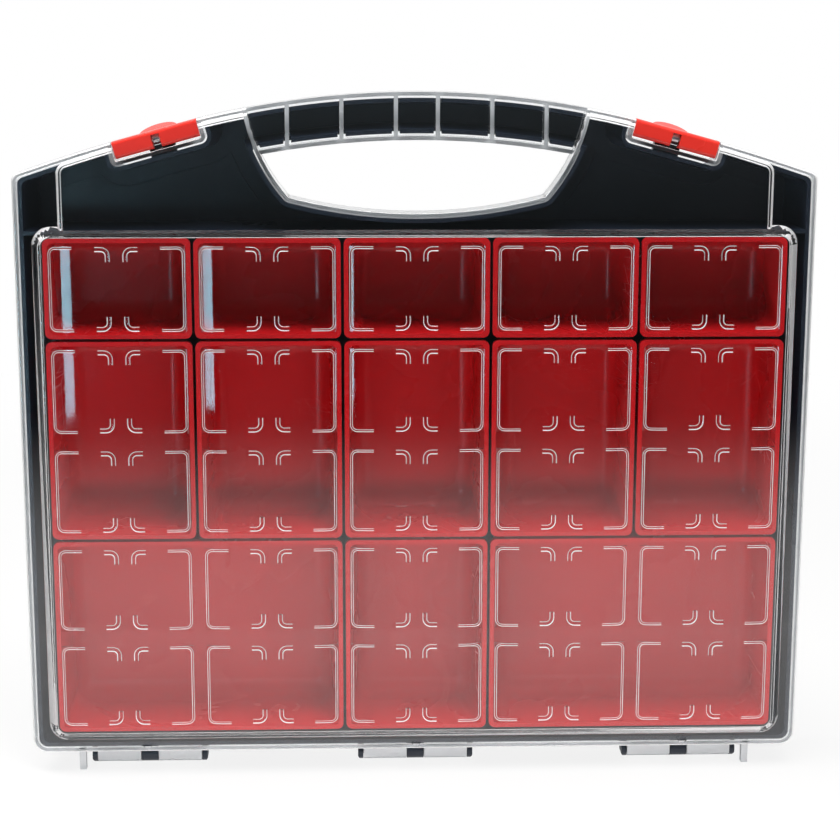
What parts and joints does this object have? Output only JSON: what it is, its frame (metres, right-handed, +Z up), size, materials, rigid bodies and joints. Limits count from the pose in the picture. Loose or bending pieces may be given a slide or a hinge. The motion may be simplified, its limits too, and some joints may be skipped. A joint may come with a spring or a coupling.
{
  "type": "small parts organizer case",
  "caption": "Stand-up carry case for small parts: a dark tray with a moulded handle and lift-out bins under a clear hinged lid held by two latches.",
  "frame": {"origin": "on the floor under the middle of the case's box, as it stands on its hinge side", "axes": "+Z up from hinges to handle, +X along the hinge line, -Y out of the lid's front"},
  "size_m": [0.424, 0.0532, 0.3756],
  "materials": {
    "clear_plastic": "clear gloss",
    "black_plastic": "satin",
    "red_plastic": "semi-gloss",
    "pin_steel": "plain"
  },
  "bodies": {
    "case": {"tray": "black_plastic", "bin_small_1": "red_plastic", "bin_small_2": "red_plastic", "bin_small_3": "red_plastic", "bin_small_4": "red_plastic", "bin_small_5": "red_plastic", "bin_double_1": "red_plastic", "bin_double_2": "red_plastic", "bin_double_3": "red_plastic", "bin_double_4": "red_plastic", "bin_double_5": "red_plastic", "bin_large_left": "red_plastic", "bin_double_lower": "red_plastic", "bin_large_right": "red_plastic", "hinge_block_left": "black_plastic", "hinge_pin_left": "pin_steel", "hinge_block_centre": "black_plastic", "hinge_pin_centre": "pin_steel", "hinge_block_right": "black_plastic", "hinge_pin_right": "pin_steel"},
    "lid": {"lid": "clear_plastic", "latch_pin_left": "pin_steel", "latch_pin_right": "pin_steel"},
    "latch_left": {"latch_left": "red_plastic"},
    "latch_right": {"latch_right": "red_plastic"}
  },
  "joints": [
    {"name": "lid_hinge", "type": "hinge", "parent": "case", "child": "lid", "pos_m": [0, -0.00455, 0.006], "axis": [1, 0, 0], "range_deg": [0, 180]},
    {"name": "latch_left_pivot", "type": "hinge", "parent": "lid", "child": "latch_left", "pos_m": [-0.13627, -0.01595, 0.35121], "axis": [0.9644, 0, 0.2646], "range_deg": [0, 100]},
    {"name": "latch_right_pivot", "type": "hinge", "parent": "lid", "child": "latch_right", "pos_m": [0.13627, -0.01595, 0.35121], "axis": [0.9644, 0, -0.2646], "range_deg": [0, 100]}
  ]
}
